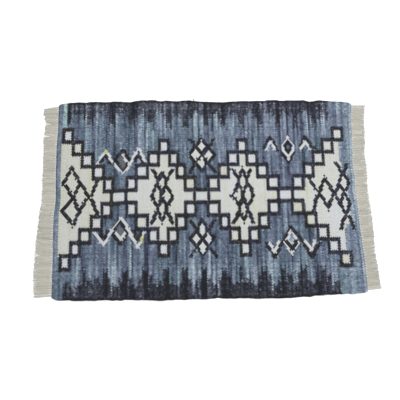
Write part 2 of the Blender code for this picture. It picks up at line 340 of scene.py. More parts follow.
# The white field and the chains of windows. Each window is a white square in a black frame, and the next one
# stands ten rows on and about ten picks along, so that their frames share a corner.
WINDOW_HALF = 3  # in rows
FRAME_WIDE = 3
WINDOW_COOL = (0.25, 0.6, 0.75, 0.85, 0.9, 1.0)
CHAIN_ROWS = (10, 20, 30, 40, 50)
FIELD_START = 5
FIELD_EDGE = (288, 288, 283, 281, 281)  # where the white ends on the right, step by step
# From the middle line out, the first and last picks of the windows on the left and right of each white part.
Part = namedtuple("Part", "side cool left right")
WHITE_PARTS = [
    Part(FAR, 0.42, (), ((49, 53), (38, 44), (27, 33), (18, 23), (8, 13))),
    Part(NEAR, 0.46, (), ((47, 52), (37, 43), (26, 32), (18, 22), (9, 13))),
    Part(FAR, 0.60,
         ((71, 76), (80, 87), (92, 98), (103, 108)),
         ((128, 134), (120, 124), (113, 117), (103, 108))),
    Part(NEAR, 0.60,
         ((71, 76), (80, 87), (92, 97), (102, 107)),
         ((128, 134), (119, 124), (111, 116), (102, 107))),
    Part(FAR, 0.62,
         ((151, 157), (162, 167), (171, 177), (181, 186)),
         ((210, 217), (200, 206), (190, 196), (181, 186))),
    Part(NEAR, 0.48,
         ((150, 157), (162, 166), (171, 176), (181, 186)),
         ((210, 216), (200, 205), (190, 195), (181, 186))),
    Part(FAR, 0.52, ((235, 241), (247, 252), (257, 263), (267, 273), (278, 284)), ()),
    Part(NEAR, 0.70, ((233, 240), (246, 252), (257, 263), (267, 273), (278, 283)), ()),
]


def across(side, low, high):
    """Rows counted outwards on one side of the middle line."""
    out = side * rows
    return (out >= low) & (out <= high)


def along(first, last):
    return (picks >= first) & (picks <= last)


for part in WHITE_PARTS:
    for k, row in enumerate(CHAIN_ROWS[:max(len(part.left), len(part.right))]):
        start = part.left[k][0] - 1 if part.left else FIELD_START
        stop = part.right[k][1] + 1 if part.right else FIELD_EDGE[k]
        field = along(start, stop) & across(part.side, 0, row - WINDOW_HALF - 1)
        weave(field, WHITE)
        cool[field] = part.cool
for part in WHITE_PARTS:
    for windows in (part.left, part.right):
        for row, (first, last) in zip(CHAIN_ROWS, windows):
            reach = WINDOW_HALF + FRAME_WIDE
            framed = along(first - FRAME_WIDE, last + FRAME_WIDE)
            weave(framed & across(part.side, row - reach, row + reach), BLACK)
    for windows in (part.left, part.right):
        for row, (first, last) in zip(CHAIN_ROWS, windows):
            pane = along(first, last) & across(part.side, row - WINDOW_HALF, row + WINDOW_HALF)
            weave(pane, WHITE)
            cool[pane] = shed.choice(WINDOW_COOL)

# The middle band joins the white parts, between two black lines, with black bars across it.
BAND_LINKS = ((46, 78), (126, 159), (208, 242))
BAND_BARS = ((53, 55), (67, 69), (134, 136), (148, 150), (217, 219), (231, 233))
for first, last in BAND_LINKS:
    weave(along(first, last) & (across(FAR, 4, 6) | across(NEAR, 4, 6)), BLACK)
    weave(along(first, last) & across(FAR, -WINDOW_HALF, WINDOW_HALF), WHITE)
for first, last in BAND_BARS:
    weave(along(first, last) & across(FAR, -WINDOW_HALF, WINDOW_HALF), BLACK)


def stroke(points, wide, yarn):
    """A slanting line so many picks wide, through points given as pick and row."""
    for (start, low), (stop, high) in zip(points, points[1:]):
        if low > high:
            start, low, stop, high = stop, high, start, low
        share = np.clip((rows - low) / max(high - low, 1), 0, 1)
        middle = start + (stop - start) * share
        weave((abs(picks - middle) <= wide / 2) & (rows >= low - 0.5) & (rows <= high + 0.5), yarn)


# The lattices in the white parts: thin black lines crossing into diamonds, worked on the white.
LATTICE_WIDE = 3.3
LATTICES = [
    ((15, 24), (12, 19), (6.5, 10.5)),
    ((15, 24), (18, 19.5), (20.5, 15.5), (23, 12.5), (26.5, 9), (29.5, 3.5), (32, 0), (34.5, -1.5),
     (36.5, -4.5), (38.5, -9), (40.5, -12.5), (42, -14)),
    ((9.5, 9.5), (13.5, 4.5), (16, 0), (14.5, -2), (12, -5.5), (10, -7.5), (7, -10.5)),
    ((22.5, 10), (20, 5.5), (18, 1.5), (16.5, 0), (19, -2.5), (20.5, -6.5), (22, -10)),
    ((39.5, 12.5), (37, 6.5), (34.5, 1.5), (32, 0), (30, -1.5), (27.5, -4.5), (25.5, -8), (23.5, -10.5),
     (21.5, -13.5), (20, -16.5), (18.5, -20.5)),
    ((7, -10.5), (9, -12), (12, -14.5), (14.5, -18.5), (17, -21)),

    ((94.5, 21), (96.5, 18), (98.5, 14.5), (99.5, 12), (98.5, 9), (97, 7.5), (95, 3.5), (93, 0)),
    ((113.5, 21), (111, 17), (108.5, 14), (107.5, 12), (107, 9), (109, 6.5), (111, 3), (113.5, 0)),
    ((99.5, 12), (101.5, 15.5), (103.5, 18.5), (105.5, 15.5), (107.5, 12)),
    ((99, 9), (100.5, 7.5), (102, 3.5), (102.5, 1), (101.5, -4.5), (99.5, -7.5)),
    ((107, 9), (105, 5.5), (103.5, 2)),
    ((93, 0), (94.5, -2.5), (96.5, -5), (98.5, -7.5), (99, -11), (97.5, -12.5), (95.5, -16.5), (93, -21)),
    ((103.5, -1.5), (106, -5), (107.5, -7.5), (107.5, -11), (109.5, -13.5), (111.5, -17.5), (113, -21)),
    ((113.5, 0), (111.5, -3.5), (109.5, -6.5), (107.5, -8.5)),
    ((99, -11), (100.5, -13.5), (101.5, -16), (103, -18.5), (105, -15.5), (107.5, -11)),

    ((172, 21), (174.5, 20), (176.5, 16.5), (179, 12.5), (179, 9.5), (177.5, 7.5), (175.5, 3.5),
     (171.5, -0.5)),
    ((191, 21), (189.5, 18.5), (187, 12.5), (187, 9.5), (189, 8), (191.5, 4.5), (192.5, -0.5)),
    ((179, 12.5), (181, 17.5), (183, 20), (185, 17.5), (187, 12.5)),
    ((179, 9.5), (180.5, 6.5), (182, 3.5), (182.5, 0.5), (184, 3.5), (185.5, 6.5), (187, 9.5)),
    ((171.5, -0.5), (174.5, -2.5), (177.5, -5.5), (179, -9), (178.5, -12), (176.5, -15.5), (172.5, -21)),
    ((182.5, 0.5), (181.5, -4.5), (180, -7.5), (179, -9)),
    ((182.5, 0.5), (184.5, -4.5), (186.5, -7.5), (186.5, -9), (187.5, -12), (189.5, -15.5), (192, -21)),
    ((192.5, -0.5), (190.5, -4.5), (188, -7.5), (186.5, -9)),
    ((178.5, -12), (180.5, -14.5), (182.5, -18), (184.5, -16.5), (187, -12)),

    ((250, 12.5), (252.5, 8.5), (255, 4.5), (259, 1), (261.5, -2.5), (264.5, -7), (267.5, -10)),
    ((259, 1), (260.5, 4.5), (263, 9.5), (265.5, 13), (267.5, 9.5), (270.5, 5.5), (274, 0.5)),
    ((259, 1), (256.5, -1.5), (254.5, -5.5), (253, -10.5), (251.5, -14)),
    ((267.5, -10), (268.5, -7.5), (271, -3.5), (273, 0)),
    ((274.5, 0.5), (277, 4), (279, 8.5), (281, 12.5), (283, 17), (280.5, 22), (278.5, 25), (277, 25.5)),
    ((283, 17), (286, 19), (288.5, 22.5), (289.5, 25)),
    ((279, 8.5), (282, 5.5), (285.5, -0.5), (287.5, -4.5), (288.5, -7.5), (285.5, -14), (284, -16)),
    ((279, -8), (281, -4), (282.8, -0.5), (284, 2), (287, 3.5), (289.8, 9), (288, 13), (284, 17.5)),
    ((275, -1), (277, -4), (279, -8), (281, -10.5), (284, -16), (287, -18), (288.5, -21.5), (290, -26.5)),
    ((284, -16), (282, -18.5), (279.8, -22.5), (278.5, -26.5)),
]
for line in LATTICES:
    stroke(line, LATTICE_WIDE, BLACK)
# A single pick of black at a point of the lattices.
for pick, low, high in (
    (15, 24, 26), (17, -24, -20), (103, -21, -18), (183, 20, 23), (183, -22, -18), (265, 13, 16),
    (267, -14, -10),
):
    weave(along(pick, pick) & (rows >= low) & (rows <= high), BLACK)

# A few odd rags: peach under the last crossing, pale blue and cream beside it.
for first, last, low, high, coolness in ((279, 282, -26, -22, -0.4), (281, 286, -23, -18, 0.2)):
    odd = along(first, last) & (rows >= low) & (rows <= high) & (chart != BLACK)
    weave(odd, WHITE)
    cool[odd] = coolness
pale_rags = along(288, 292) & ((across(NEAR, 8, 20)) | across(FAR, 17, 21)) & (chart != BLACK)
shade[pale_rags] += 0.16

# The flowers between the medallions: four white lozenges edged in black, and arms that run on from the
# cross between them.
Petal = namedtuple("Petal", "pick row wide high")
FLOWERS = [
    [Petal(143, 40, 3.4, 5.6), Petal(142.5, 26.8, 3.8, 5.4), Petal(137, 33, 4.3, 4.9),
     Petal(149.2, 33, 4.7, 5)],
    [Petal(142, -25.8, 3.5, 5.2), Petal(142, -39.6, 4, 4.8), Petal(136, -32.8, 4.2, 4.9),
     Petal(147, -32.6, 4.2, 5)],
]
FLOWER_EDGE = 3.6
PETAL_HEART = 0.75  # of a petal, what stays white under the arms
ARM_WIDE = 3.3
ARMS = [
    ((130.5, 46), (134.5, 43.5), (138, 39), (146.5, 29.5), (149.5, 25.5), (153, 22), (155.5, 19)),
    ((155, 46), (151.5, 40.5), (148, 37), (139.5, 29.5), (135.5, 25.5), (132.5, 21.5), (130.5, 18.5)),
    ((131, -19.5), (134.5, -24), (138, -28.5), (146.5, -38), (150, -41.5), (155, -46.5)),
    ((153.5, -19), (150.5, -23.5), (147, -28), (138, -37.5), (133.5, -42.5), (130, -46.5)),
]


def lozenge(pick, row, wide, high):
    return abs(picks - pick) / wide + abs(rows - row) / high <= 1


for flower in FLOWERS:
    for petal in flower:
        weave(lozenge(petal.pick, petal.row, petal.wide + FLOWER_EDGE, petal.high + FLOWER_EDGE), BLACK)
    for petal in flower:
        petal_white = lozenge(*petal)
        weave(petal_white, WHITE)
        cool[petal_white] = shed.choice(WINDOW_COOL)
for arm in ARMS:
    stroke(arm, ARM_WIDE, BLACK)
for flower in FLOWERS:
    for petal in flower:
        weave(lozenge(petal.pick, petal.row, petal.wide * PETAL_HEART, petal.high * PETAL_HEART), WHITE)

# The zigzags in the four blue bays: white and black chevrons and lozenges, laid side by side.
THIN, MIDDLING, THICK = 3, 3.3, 4
PALE_MIDDLE = 0.72
weave(lozenge(64.5, 29, 6, 8), GREY)
stroke([(57.5, 29.5), (61.5, 35), (65, 38), (68.5, 33.5), (70.5, 29.5)], MIDDLING, BLACK)
stroke([(70.5, 29.5), (69, 25), (65, 20.5), (61.5, 24.5), (57.5, 29.5)], THIN, BLACK)
stroke([(64.5, 34), (67, 31), (68.5, 28)], THIN, WHITE)
stroke([(43, 28.5), (46, 32.5), (48, 35.5), (50.5, 30.5), (52, 27.5)], THICK, BLACK)
stroke([(76.5, 28.5), (79, 32.5), (80.5, 36), (82.5, 31.5), (84.5, 27.5)], THICK, BLACK)
stroke([(40, 27.5), (44.5, 33.5), (48, 38), (51.5, 33), (54, 28)], THIN, WHITE)
stroke([(57, 27), (59.5, 23), (65, 19), (68.5, 21.5), (71.5, 25.5), (77.5, 35.5), (80.5, 39)], THIN, WHITE)
stroke([(80.5, 39), (83.5, 34), (86.5, 28)], THIN, WHITE)
stroke([(46.5, 36.5), (48, 38), (49.5, 36.5)], THIN, LIME)

weave(lozenge(63, -27, 6, 9), GREY)
stroke([(63, -19), (57.5, -24.5), (55.5, -27), (57, -30.5), (63, -36.5)], MIDDLING, BLACK)
stroke([(63, -19), (66, -23), (69, -26.5), (68, -30.5), (63, -36.5)], MIDDLING, BLACK)
stroke([(59, -27.5), (61, -30.5), (63.5, -32.5), (65.5, -30.5), (67, -27)], THIN, WHITE)
stroke([(43, -26), (45, -29.5), (47, -32), (49.5, -29.5), (51, -26.5)], THICK, BLACK)
stroke([(75.5, -26.5), (78, -29.5), (80, -32.5), (82.5, -29.5), (84, -26.5)], THICK, BLACK)
stroke([(38.5, -27), (42, -30.5), (44.5, -34.5), (47, -37), (49.5, -33.5), (54.5, -25.5), (63, -16.5)],
       THIN, WHITE)
stroke([(63, -16.5), (69, -22.5), (72, -26.5), (79.5, -38.5), (83.5, -31.5), (86, -27)], THIN, WHITE)
stroke([(70, -24), (74.5, -31.5)], THICK, WHITE)
stroke([(82.5, -34), (84, -31)], THIN, LIME)

stroke([(205.5, 39.5), (209, 43.5), (212, 48), (215, 44), (217.5, 40), (219, 36.5)], THIN, BLACK)
stroke([(207.5, 37.5), (210, 40), (212.5, 43.5), (215, 40.5), (216.5, 37.5)], THIN, WHITE)
stroke([(223.5, 34.5), (225.5, 31.5), (229.5, 26.5), (232.5, 29.5), (234.5, 33.5)], THIN, BLACK)
weave(lozenge(230, 38, 7.5, 10.5), WHITE)
weave(lozenge(230, 39.2, 4.8, 6), BLACK)
weave(lozenge(229.8, 39.2, 2, 2.8), GREY)
stroke([(242.5, 38), (244.5, 41.5), (247.5, 47.5), (250.5, 44), (253.5, 40), (256.5, 38)], THICK, BLACK)
stroke([(243, 37.5), (245.5, 40.5), (247.5, 44), (250, 40.5), (252, 37.5)], THIN, WHITE)

stroke([(203.5, -37.5), (208, -43.5), (211.5, -48.5), (215.5, -42.5), (219.5, -37), (228.5, -25.5)],
       THIN, BLACK)
stroke([(228.5, -25.5), (235.5, -33), (241.5, -39.5), (244.5, -44.5), (248, -49)], THICK, BLACK)
stroke([(248, -49), (250.5, -44.5), (253.5, -40.5), (256.5, -38)], THICK, BLACK)
weave(lozenge(228.5, -37.3, 8.3, 10.5), WHITE)
stroke([(223.5, -36), (226, -39), (229, -43), (231.5, -39.5), (233, -36)], THICK, BLACK)
pale_middle = lozenge(229, -34.5, 2.6, 5.5)
weave(pale_middle, DENIM)
shade[pale_middle] = PALE_MIDDLE
stroke([(207, -37), (209, -40.5), (211.5, -45), (214, -40.5), (216, -36.5)], THIN, WHITE)
stroke([(242, -36.5), (245, -40), (247.5, -43.5), (250, -39.5), (251.5, -36)], THIN, WHITE)

# The edge rags. The selvedge wefts are black all along the border: partly dark rag, partly painted edge
# shadow.
EDGE_PICKS = (12, 274)
weave(along(*EDGE_PICKS) & (abs(rows) >= MIDDLE_WARP - 1), BLACK)

# The cloth. A weft-faced plain weave: each rag passes over one warp and under the next, and its neighbour
# does the opposite, so the face is a brickwork of plump six-sided stitches. At a selvedge each rag turns
# round the last warp and goes back, and the back of the rug shows the same design.
STITCH_POINT = 0.10  # how far a stitch's side reaches along its warp, in warps
CROWDING = 0.14  # how far a fat dark rag pushes into a thin pale one beside it, in picks
TOOTH = 0.50  # and into one at its end, in warps, so that the black edges look toothed
FULLNESS = {DENIM: 0.0, CHARCOAL: 0.3, BLACK: 1.0, WHITE: -1.0, LIME: -1.0, GREY: 0.2}
VALLEY = 0.0029
CREST = 0.0047
CREST_SPREAD = 0.00022
STITCH_SPREAD = 0.16  # how far a stitch's crest strays, in picks
SLACK_SPREAD = 0.07  # and in warps
SELVEDGE_MIDDLE = 0.0024
SELVEDGE_BULGE = 0.30  # in warps, how far out a turning rag stands, and one that goes under less
SELVEDGE_DIP = 0.10
TURN_SPREAD = 0.07  # in warps, from pick to pick
FAT_TURN = 0.75  # in warps, the most that a fat rag adds
FAT_TURN_PICKS = 4
BACK_LOW, BACK_HIGH = 0.0003, 0.0009
MIDDLE_RAG_LIFT = {DENIM: 0.0, CHARCOAL: 0.0, BLACK: 0.0002, WHITE: -0.0001, LIME: 0.0, GREY: 0.0}


def stitch_colours():
    """A linear colour for every place of the chart."""
    colours = np.zeros(chart.shape + (3,))
    ribs = 0.05 * shed.normal(size=(1, WARPS + 1))
    grounds = {
        DENIM: shade + ribs * 0.6 + 0.075 * speck,
        CHARCOAL: 0.53 + 1.3 * (shade - MIDDLE_SHADE) + 0.15 * speck + 1.3 * ribs,
        BLACK: 0.46 + 0.7 * (shade - MIDDLE_SHADE) + 0.24 * speck,
        WHITE: cool + 0.9 * (shade - MIDDLE_SHADE) + 0.06 * speck,
        LIME: 0.5 + 0.2 * speck,
        GREY: 0.5 + 0.22 * speck,
    }
    for kind, share in grounds.items():
        found = chart == kind
        colours[found] = dyed(kind, np.clip(share, 0, 1)[found], tint[found])
    return colours


def zipped(upper, lower, turn):
    """Triangles between two rows of points, each given as its places along and its point numbers."""
    made = []
    a, b = 0, 0
    while a < len(upper[1]) - 1 or b < len(lower[1]) - 1:
        above = upper[0][a + 1] if a < len(upper[1]) - 1 else math.inf
        below = lower[0][b + 1] if b < len(lower[1]) - 1 else math.inf
        if above <= below:
            made.append((upper[1][a], lower[1][b], upper[1][a + 1]))
            a += 1
        else:
            made.append((upper[1][a], lower[1][b], lower[1][b + 1]))
            b += 1
    return [face[::turn] for face in made]


def woven_mesh():
    """The points, triangles and colours of the cloth, and which points are crests and which are valleys."""
    loom = np.random.default_rng(23)
    shape = chart.shape
    pick, warp = np.meshgrid(np.arange(shape[0]), np.arange(shape[1]), indexing="ij")
    over = (pick + warp) % 2 == 0
    points, count = [], 0

    def added(places):
        nonlocal count
        numbers = np.arange(count, count + len(places))
        points.append(places)
        count += len(places)
        return numbers

    def numbered(mask, pick_at, warp_at, height):
        numbers = np.full(shape, -1)
        numbers[mask] = added(laid(pick_at[mask], warp_at[mask], height[mask]))
        return numbers

    thick = np.vectorize(MIDDLE_RAG_LIFT.get)(chart)
    stray = STITCH_SPREAD * np.clip(loom.normal(size=shape), -2, 2) * ((pick > 0) & (pick < PICKS))
    slack = SLACK_SPREAD * np.clip(loom.normal(size=shape), -2, 2) * ((warp > 0) & (warp < WARPS))
    proud = CREST + thick + CREST_SPREAD * np.clip(loom.normal(size=shape), -2, 2)
    crest = numbered(over, pick + stray, warp + slack, proud)
    valley = VALLEY + 0.0001 * loom.normal(size=shape)
    full = np.pad(np.vectorize(FULLNESS.get)(chart), 1, mode="edge")
    before, after = full[:-2, 1:-1], full[2:, 1:-1]
    aside = CROWDING * (before - after) / 2
    from_below = np.clip(full[1:-1, :-2] - (before + after) / 2, 0, 2) / 2
    from_above = np.clip(full[1:-1, 2:] - (before + after) / 2, 0, 2) / 2
    meeting = warp + TOOTH * (from_below - from_above) * ((warp > 0) & (warp < WARPS)) + slack * 0.5
    low = numbered(~over & (warp > 0), pick + aside, meeting - STITCH_POINT, valley)
    high = numbered(~over & (warp < WARPS), pick + aside, meeting + STITCH_POINT, valley)
    crest_count = crest.max() + 1
    every = np.arange(PICKS + 1)
    turns = {}
    for side, edge_warp in ((NEAR, 0), (FAR, WARPS)):
        bulge = np.where(every % 2 == 0, SELVEDGE_BULGE, SELVEDGE_DIP)
        bulge = bulge + TURN_SPREAD * loom.normal(size=every.size)
        fat_picks = np.arange(0, PICKS + 9, FAT_TURN_PICKS)
        bulge += np.interp(every, fat_picks, FAT_TURN * loom.random(len(fat_picks)))
        turns[side] = added(laid(every, edge_warp + side * bulge, SELVEDGE_MIDDLE + 0.0 * every))
    lines = np.concatenate([[0.0], np.arange(0.5, WARPS), [float(WARPS)]])
    steps = np.arange(0, PICKS + 1, 2)
    back_pick, back_line = np.meshgrid(steps, np.arange(len(lines)), indexing="ij")
    bumps = np.where((back_pick // 2 + back_line) % 2 == 0, BACK_LOW, BACK_HIGH)
    back = added(laid(back_pick.ravel(), lines[back_line.ravel()], bumps.ravel())).reshape(back_pick.shape)

    faces, owners = [], []

    def stitched(where, ring):
        """Triangles from each stitch's crest to the ring of points round it."""
        for start, stop in zip(ring, ring[1:]):
            faces.append(np.stack([crest[where], start, stop], axis=-1))
            owners.append(np.stack([pick[where], warp[where]], axis=-1))

    inner = over & (pick > 0) & (pick < PICKS) & (warp > 0) & (warp < WARPS)
    i, j = pick[inner], warp[inner]
    stitched(inner, [
        low[i + 1, j], high[i + 1, j], low[i, j + 1], high[i - 1, j], low[i - 1, j], high[i, j - 1],
        low[i + 1, j],
    ])
    first = over & (pick == 0) & (warp > 0) & (warp < WARPS)
    i, j = pick[first], warp[first]
    stitched(first, [high[i, j - 1], low[i + 1, j], high[i + 1, j], low[i, j + 1]])
    last = over & (pick == PICKS) & (warp > 0) & (warp < WARPS)
    i, j = pick[last], warp[last]
    stitched(last, [low[i, j + 1], high[i - 1, j], low[i - 1, j], high[i, j - 1]])
    near = over & (warp == 0) & (pick > 0) & (pick < PICKS)
    i, j = pick[near], warp[near]
    turn = turns[NEAR]
    stitched(near, [
        high[i + 1, j], low[i, j + 1], high[i - 1, j], turn[i - 1], turn[i], turn[i + 1], high[i + 1, j],
    ])
    far = over & (warp == WARPS) & (pick > 0) & (pick < PICKS)
    i, j = pick[far], warp[far]
    turn = turns[FAR]
    stitched(far, [
        low[i + 1, j], turn[i + 1], turn[i], turn[i - 1], low[i - 1, j], high[i, j - 1], low[i + 1, j],
    ])
    for where, ring in (
        ((0, 0), [turns[NEAR][0], turns[NEAR][1], high[1, 0], low[0, 1]]),
        ((PICKS, 0), [low[PICKS, 1], high[PICKS - 1, 0], turns[NEAR][PICKS - 1], turns[NEAR][PICKS]]),
        ((0, WARPS), [high[0, WARPS - 1], low[1, WARPS], turns[FAR][1], turns[FAR][0]]),
        ((PICKS, WARPS),
         [turns[FAR][PICKS], turns[FAR][PICKS - 1], low[PICKS - 1, WARPS], high[PICKS, WARPS - 1]]),
    ):
        for start, stop in zip(ring, ring[1:]):
            faces.append(np.array([[crest[where], start, stop]]))
            owners.append(np.array([where]))

    def closed(triangles, owner):
        faces.append(np.array(triangles))
        owners.append(np.array(owner))

    for side, line, way in ((NEAR, 0, 1), (FAR, len(lines) - 1, -1)):
        edge = zipped((every, turns[side]), (steps, back[:, line]), way)
        warp_there = 0 if side == NEAR else WARPS
        places = {number: k for k, number in enumerate(turns[side])}
        places.update({number: 2 * k for k, number in enumerate(back[:, line])})
        closed(edge, [(places[min(face, key=places.get)], warp_there) for face in edge])
    for side, end, step, way in ((LEFT, 0, 0, -1), (RIGHT, PICKS, len(steps) - 1, 1)):
        along, numbers = [-0.3], [turns[NEAR][end]]
        for place in range(WARPS + 1):
            if place % 2 == 0:
                along.append(place)
                numbers.append(crest[end, place])
            else:
                along += [place - STITCH_POINT, place + STITCH_POINT]
                numbers += [low[end, place], high[end, place]]
        along.append(WARPS + 0.3)
        numbers.append(turns[FAR][end])
        edge = zipped((along, numbers), (lines, back[step]), way)
        spots = dict(zip(numbers, along))
        spots.update(zip(back[step], lines))
        closed(edge, [(end, int(np.clip(round(spots[face[0]]), 0, WARPS))) for face in edge])
    a, b = back[:-1, :-1].ravel(), back[1:, :-1].ravel()
    c, d = back[1:, 1:].ravel(), back[:-1, 1:].ravel()
    cell_pick, cell_warp = np.meshgrid(steps[:-1], np.arange(WARPS + 1), indexing="ij")
    under = np.stack([(cell_pick + (cell_warp + 1) % 2).ravel(), cell_warp.ravel()], axis=-1)
    closed(np.stack([a, d, c], axis=-1), under)
    closed(np.stack([a, c, b], axis=-1), under)
    owners_all = np.concatenate(owners)
    colours = stitch_colours()[owners_all[:, 0], owners_all[:, 1]]
    is_crest = np.zeros(count, bool)
    is_crest[:crest_count] = True
    is_back = np.zeros(count, bool)
    is_back[back.ravel()] = True
    return np.concatenate(points), np.concatenate(faces), colours, is_crest, is_back


Grain = namedtuple("Grain", "scale detail low high")  # and what it multiplies the colour by
RAG_GRAINS = [
    Grain((1500, 260, 1500), 3, 0.80, 1.20),  # the fine lines of the cloth that a rag was torn from
    Grain((330, 120, 330), 2, 0.88, 1.12),  # its fading
]
SURFACE = ("Roughness", "Specular IOR Level", "Sheen Weight", "Sheen Roughness")
GRAIN_MIDDLE = (0.3, 0.7)


def matt_cotton(name, dye, surface, grains, relief):
    """Matt cotton of its own dyes. The first of its grains also stands out in relief."""
    made = bpy.data.materials.new(name)
    made.use_nodes = True
    nodes, links = made.node_tree.nodes, made.node_tree.links
    shader = nodes["Principled BSDF"]
    for socket, value in zip(SURFACE, surface):
        shader.inputs[socket].default_value = value
    dyes = nodes.new("ShaderNodeAttribute")
    dyes.attribute_name = dye
    colour = dyes.outputs["Color"]
    place = nodes.new("ShaderNodeTexCoord")
    bump = nodes.new("ShaderNodeBump")
    bump.inputs["Strength"].default_value = 0.5
    bump.inputs["Distance"].default_value = relief
    for grain in grains:
        stretch = nodes.new("ShaderNodeMapping")
        stretch.inputs["Scale"].default_value = grain.scale
        noise = nodes.new("ShaderNodeTexNoise")
        noise.inputs["Scale"].default_value = 1.0
        noise.inputs["Detail"].default_value = grain.detail
        links.new(place.outputs["Object"], stretch.inputs["Vector"])
        links.new(stretch.outputs["Vector"], noise.inputs["Vector"])
        spread = nodes.new("ShaderNodeMapRange")
        levels = GRAIN_MIDDLE + (grain.low, grain.high)
        for socket, level in zip(("From Min", "From Max", "To Min", "To Max"), levels):
            spread.inputs[socket].default_value = level
        varied = nodes.new("ShaderNodeVectorMath")
        varied.operation = "SCALE"
        links.new(noise.outputs["Fac"], spread.inputs["Value"])
        links.new(colour, varied.inputs[0])
        links.new(spread.outputs["Result"], varied.inputs["Scale"])
        colour = varied.outputs["Vector"]
        if grain is grains[0]:
            links.new(noise.outputs["Fac"], bump.inputs["Height"])
    links.new(colour, shader.inputs["Base Color"])
    links.new(bump.outputs["Normal"], shader.inputs["Normal"])
    return made


def coloured_piece(name, points, triangles, dye, colours, material):
    """A smooth mesh in the scene, with a colour of its own for each triangle."""
    mesh = bpy.data.meshes.new(name)
    mesh.from_pydata(points.tolist(), [], triangles.tolist())
    mesh.polygons.foreach_set("use_smooth", np.ones(len(triangles), bool))
    layer = mesh.attributes.new(dye, "FLOAT_COLOR", "FACE")
    layer.data.foreach_set("color", np.hstack([colours, np.ones((len(colours), 1))]).ravel())
    mesh.materials.append(material)
    made = bpy.data.objects.new(name, mesh)
    bpy.context.scene.collection.objects.link(made)
    return made


points, triangles, colours, is_crest, is_back = woven_mesh()
rag_cotton = matt_cotton("rag_cotton", "rag", (0.93, 0.18, 0.12, 0.6), RAG_GRAINS, 0.0004)
woven_rags = coloured_piece("woven_rags", points, triangles, "rag", colours, rag_cotton)
edges = woven_rags.data.edges
ends = np.zeros(len(edges) * 2, int)
edges.foreach_get("vertices", ends)
ends = ends.reshape(-1, 2)
between_stitches = ~is_crest[ends].any(axis=1) & ~is_back[ends].any(axis=1)
edges.foreach_set("use_edge_sharp", between_stitches)
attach(woven_rags, "root")
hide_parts("woven_cloth")

# A loose thread. The tail of one dark rag stands out of the far selvedge, where the weaver began a new one.
TAIL_PICK = 136.5
TAIL_OUT = 0.017
TAIL_LEAN = -0.005
TAIL_THICK = 0.0034
TAIL_STEPS = 7
TAIL_SIDES = 6
TAIL_HIDDEN = 0.002  # of the thread, inside the cloth
TAIL_CURL = 1.5
TAIL_TAPER = 0.4


def tube(path, thick, sides, turn):
    """Rings of points round a path, with a point at each end."""
    ahead = np.gradient(path, axis=0)
    ahead /= np.linalg.norm(ahead, axis=1, keepdims=True)
    beside = np.cross(ahead, (0.0, 0.0, 1.0))
    beside /= np.linalg.norm(beside, axis=1, keepdims=True)
    above = np.cross(beside, ahead)
    angles = turn + 2 * np.pi * np.arange(sides) / sides
    rings = (
        path[:, None] + thick[:, None, None] / 2
        * (np.cos(angles)[None, :, None] * beside[:, None] + np.sin(angles)[None, :, None] * above[:, None])
    )
    points = np.concatenate([rings.reshape(-1, 3), path[:1], path[-1:]])
    ring = np.arange(len(path) * sides).reshape(len(path), sides)
    beyond = np.roll(ring, -1, axis=1)
    a, b, c, d = ring[:-1].ravel(), beyond[:-1].ravel(), beyond[1:].ravel(), ring[1:].ravel()
    faces = [np.stack([a, c, b], axis=-1), np.stack([a, d, c], axis=-1)]
    root, tip = len(points) - 2, len(points) - 1
    faces.append(np.stack([ring[0], beyond[0], np.full(sides, root)], axis=-1))
    faces.append(np.stack([beyond[-1], ring[-1], np.full(sides, tip)], axis=-1))
    return points, np.concatenate(faces)


tail_share = np.linspace(0, 1, TAIL_STEPS)
tail_root = laid(np.array([TAIL_PICK]), np.array([WARPS - 0.5]), np.array([SELVEDGE_MIDDLE]))[0]
tail_path = tail_root + np.stack([
    TAIL_LEAN * tail_share**TAIL_CURL, (TAIL_OUT + TAIL_HIDDEN) * tail_share,
    (TAIL_THICK / 2 - tail_root[2]) * eased(tail_share),
], axis=-1)
tail_thick = TAIL_THICK * (1 - TAIL_TAPER * tail_share)
tail_points, tail_faces = tube(tail_path, tail_thick, TAIL_SIDES, 0.0)
tail_colours = dyed(BLACK, np.full(len(tail_faces), 0.5), np.zeros(len(tail_faces)))
loose_thread = coloured_piece("loose_thread", tail_points, tail_faces, "rag", tail_colours, rag_cotton)
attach(loose_thread, "root")

# The fringe. At both ends the warps are cut long and knotted in bunches close against the last weft, so
# that nothing works loose. Past its knot each bunch spreads into soft twisted cotton yarns, which lie on the
# floor and lean as the rug was last dragged or shaken.
BUNCHES = 76
YARNS_IN_A_BUNCH = 7
YARN_THICK = 0.0023
YARN_SIDES = 5
YARN_STEPS = 11
PARTING_GAP = 0.0005
KNOT_LONG = 0.006
KNOT_HIGH = 0.0034
KNOT_SIDES = 12
KNOT_ROLL_SIDES = 7
KNOT_SLANT = 0.0009
ROOT_SPREAD = 0.34  # of a bunch's room, where its yarns leave the knot
SPREAD_REACH = 0.30  # of a yarn's length, before its bunch is at full width
LEAN_GROWTH = 1.3
LENGTH_SPREAD = 0.0022
LEAN_SPREAD = 0.0007
WIDEST_BUNCH = 1.12  # of the usual room
TIP_SPREAD = 0.54  # of a bunch's room, at its tips
SWAY = 0.0006
SWAY_BENDS = 9
FULL_TURN = 6.3
YARN_GRAINS = [Grain((300, 1800, 1800), 3, 0.86, 1.12)]  # loose fibres along a yarn
PARTING_REACH = 0.045
Hang = namedtuple("Hang", "along long lean")
LEFT_FRINGE = [Hang(*row) for row in (
    (-440, 73, -6), (-400, 79, -1), (-330, 81, 4), (-262, 78, 9), (-215, 74, 10), (-150, 69, 6),
    (-100, 65, 3), (0, 62, 0), (60, 60, 0), (200, 59, 1), (270, 62, 7), (335, 60, 5), (350, 57, 0),
    (380, 63, -2), (405, 68, -6), (434, 66, -13),
)]
